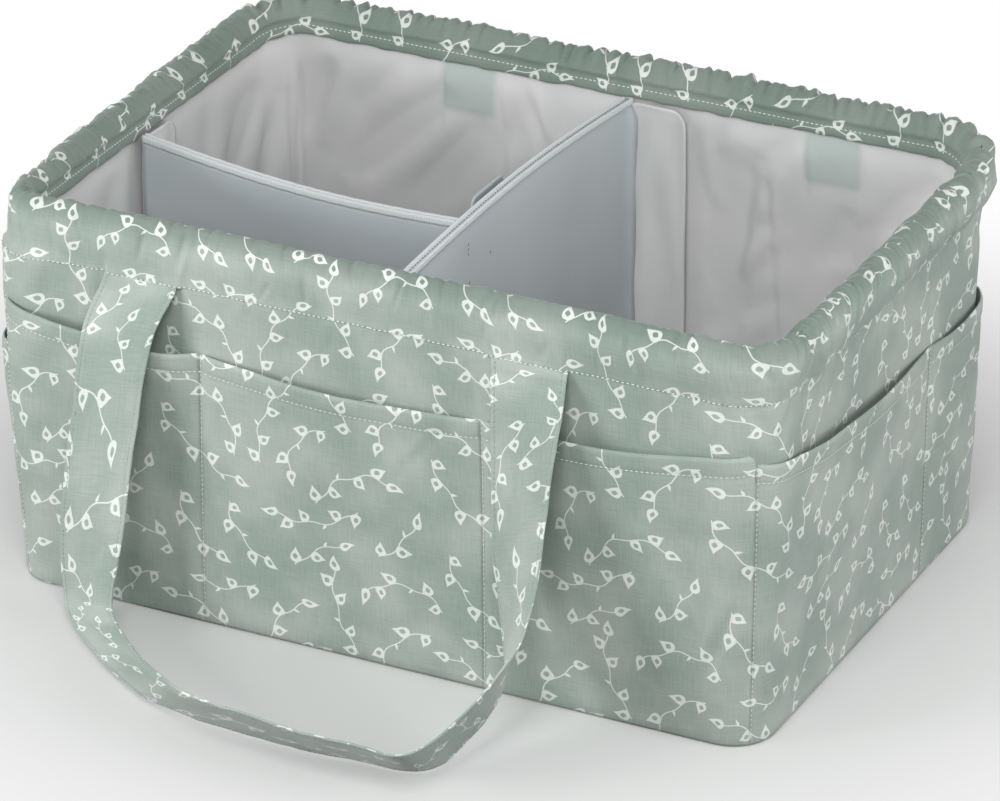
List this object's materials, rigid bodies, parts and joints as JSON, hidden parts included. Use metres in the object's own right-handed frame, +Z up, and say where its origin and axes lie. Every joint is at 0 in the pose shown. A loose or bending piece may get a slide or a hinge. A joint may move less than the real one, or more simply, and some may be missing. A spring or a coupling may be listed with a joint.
{
  "type": "diaper caddy",
  "caption": "Open-topped rectangular cloth caddy with an elastic gathered rim, slip pockets round the outside, two floppy strap handles and two lift-out dividers.",
  "frame": {"origin": "middle of the base, on the surface the caddy stands on", "axes": "+Z up, +X along the long side, -Y the front that faces the viewer"},
  "size_m": [0.4148, 0.502, 0.2037],
  "materials": {
    "printed_cotton": "matt slub cotton in sage green with a small off-white leafy sprig print",
    "lining_fabric": "smooth light grey woven polyester",
    "divider_fabric": "smooth cool grey woven polyester over board",
    "divider_binding": "pale grey folded binding",
    "stiffening_board": "plain pale stiffening board, hidden",
    "elastic_band": "white woven elastic, hidden",
    "fastening_tape": "grey hook and loop tape"
  },
  "bodies": {
    "caddy": {"outer_front": "printed_cotton", "board_front": "stiffening_board", "lining_front": "lining_fabric", "outer_right": "printed_cotton", "board_right": "stiffening_board", "lining_right": "lining_fabric", "outer_back": "printed_cotton", "board_back": "stiffening_board", "lining_back": "lining_fabric", "outer_left": "printed_cotton", "board_left": "stiffening_board", "lining_left": "lining_fabric", "outer_base": "printed_cotton", "board_base": "stiffening_board", "lining_base": "lining_fabric", "pocket_front_a": "printed_cotton", "pocket_front_b": "printed_cotton", "pocket_front_c": "printed_cotton", "pocket_right_a": "printed_cotton", "pocket_right_b": "printed_cotton", "pocket_back_a": "printed_cotton", "pocket_back_b": "printed_cotton", "pocket_back_c": "printed_cotton", "pocket_left_a": "printed_cotton", "pocket_left_b": "printed_cotton", "rim_casing": "printed_cotton", "rim_elastic": "elastic_band", "front_handle_anchor_left": "printed_cotton", "front_handle_tail_left": "printed_cotton", "front_handle_anchor_right": "printed_cotton", "front_handle_tail_right": "printed_cotton", "back_handle_anchor_left": "printed_cotton", "back_handle_tail_left": "printed_cotton", "back_handle_anchor_right": "printed_cotton", "back_handle_tail_right": "printed_cotton", "loop_tape_front": "fastening_tape", "loop_tape_back": "fastening_tape", "loop_tape_left": "fastening_tape"},
    "front_handle": {"front_handle": "printed_cotton"},
    "back_handle": {"back_handle": "printed_cotton"},
    "cross_divider": {"cross_divider_board": "stiffening_board", "cross_divider_cover": "divider_fabric", "cross_divider_binding": "divider_binding", "cross_divider_wing_front": "divider_fabric", "cross_divider_hook_tape_front": "fastening_tape", "cross_divider_wing_back": "divider_fabric", "cross_divider_hook_tape_back": "fastening_tape", "cross_divider_loop_tape": "fastening_tape"},
    "short_divider": {"short_divider_board": "stiffening_board", "short_divider_cover": "divider_fabric", "short_divider_binding": "divider_binding", "short_divider_wing_left": "divider_fabric", "short_divider_hook_tape_left": "fastening_tape", "short_divider_wing_right": "divider_fabric", "short_divider_hook_tape_right": "fastening_tape"}
  },
  "joints": [
    {"name": "front_handle_swing", "type": "hinge", "parent": "caddy", "child": "front_handle", "pos_m": [0, -0.13766, 0.1715], "axis": [-1, 0, 0], "range_deg": [0, 125]},
    {"name": "back_handle_swing", "type": "hinge", "parent": "caddy", "child": "back_handle", "pos_m": [0, 0.13766, 0.1715], "axis": [1, 0, 0], "range_deg": [0, 125]},
    {"name": "cross_divider_lift", "type": "slide", "parent": "caddy", "child": "cross_divider", "axis": [0, 0, 1], "range_m": [0, 0.2]},
    {"name": "short_divider_lift", "type": "slide", "parent": "caddy", "child": "short_divider", "axis": [0, 0, 1], "range_m": [0, 0.2]}
  ]
}
